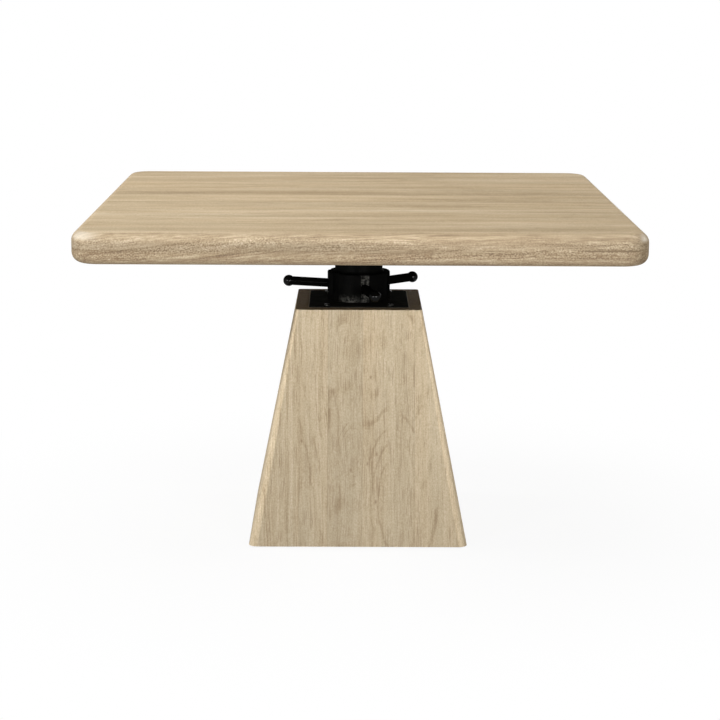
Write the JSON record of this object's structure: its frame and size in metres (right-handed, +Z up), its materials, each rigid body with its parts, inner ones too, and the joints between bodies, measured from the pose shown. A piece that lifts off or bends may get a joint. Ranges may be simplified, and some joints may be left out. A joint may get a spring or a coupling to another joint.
{
  "type": "height-adjustable table",
  "caption": "Square wooden pedestal table whose top is raised and lowered by a cast capstan nut with bar handles on a hollow pyramid base.",
  "frame": {"origin": "on the floor under the centre of the table, with the top at its lowest stop", "axes": "+Z up, +X to the right and -Y towards a person who stands in front of the table"},
  "size_m": [1.2, 1.2, 0.775],
  "materials": {
    "washed_oak": "wire-brushed and lime-washed, matt",
    "carcass_timber": "planed, unfinished",
    "black_enamel": "satin black enamel on cast iron and steel",
    "bronze": "machined bearing bronze",
    "machined_steel": "turned and oiled",
    "plated_fasteners": "zinc plated",
    "glide_nylon": "moulded nylon"
  },
  "bodies": {
    "base": {"floor_glides": "glide_nylon", "bottom_panel": "carcass_timber", "front_panel": "washed_oak", "right_panel": "washed_oak", "back_panel": "washed_oak", "left_panel": "washed_oak", "corner_blocks": "carcass_timber", "deck_cleats": "carcass_timber", "top_deck": "washed_oak", "base_plate": "black_enamel", "base_plate_screws": "black_enamel", "guide_tube": "machined_steel", "guide_key": "machined_steel", "key_screws": "plated_fasteners", "thrust_washer": "machined_steel", "retaining_ring": "plated_fasteners"},
    "capstan": {"capstan_hub": "black_enamel", "hub_bush": "bronze", "lift_nut": "bronze", "nut_screws": "plated_fasteners", "handle_bar_1": "black_enamel", "handle_ball_1": "black_enamel", "handle_bar_2": "black_enamel", "handle_ball_2": "black_enamel", "handle_bar_3": "black_enamel", "handle_ball_3": "black_enamel"},
    "tabletop": {"lift_screw": "machined_steel", "guide_shoe": "bronze", "shoe_washer": "plated_fasteners", "shoe_bolt": "plated_fasteners", "screw_socket": "black_enamel", "socket_pin": "plated_fasteners", "socket_bolts": "plated_fasteners", "top_plate": "black_enamel", "top_plate_bolts": "plated_fasteners", "batten_left": "carcass_timber", "batten_right": "carcass_timber", "batten_screws": "plated_fasteners", "edge_strip_front": "washed_oak", "edge_strip_back": "washed_oak", "edge_strip_left": "washed_oak", "edge_strip_right": "washed_oak", "top_board_1": "washed_oak", "top_board_2": "washed_oak", "top_board_3": "washed_oak", "top_board_4": "washed_oak", "top_board_5": "washed_oak", "top_board_6": "washed_oak", "top_board_7": "washed_oak", "top_board_8": "washed_oak", "top_board_9": "washed_oak"}
  },
  "joints": [
    {"name": "capstan_turn", "type": "hinge", "parent": "base", "child": "capstan", "pos_m": [0, 0, 0.572], "axis": [0, 0, -1], "range_deg": [0, 4200]},
    {"name": "table_lift", "type": "slide", "parent": "base", "child": "tabletop", "axis": [0, 0, 1], "range_m": [0, 0.14]}
  ],
  "couplings": [
    {"joint": "table_lift", "follows": "capstan_turn", "m_per_rad": 0.0019099}
  ]
}
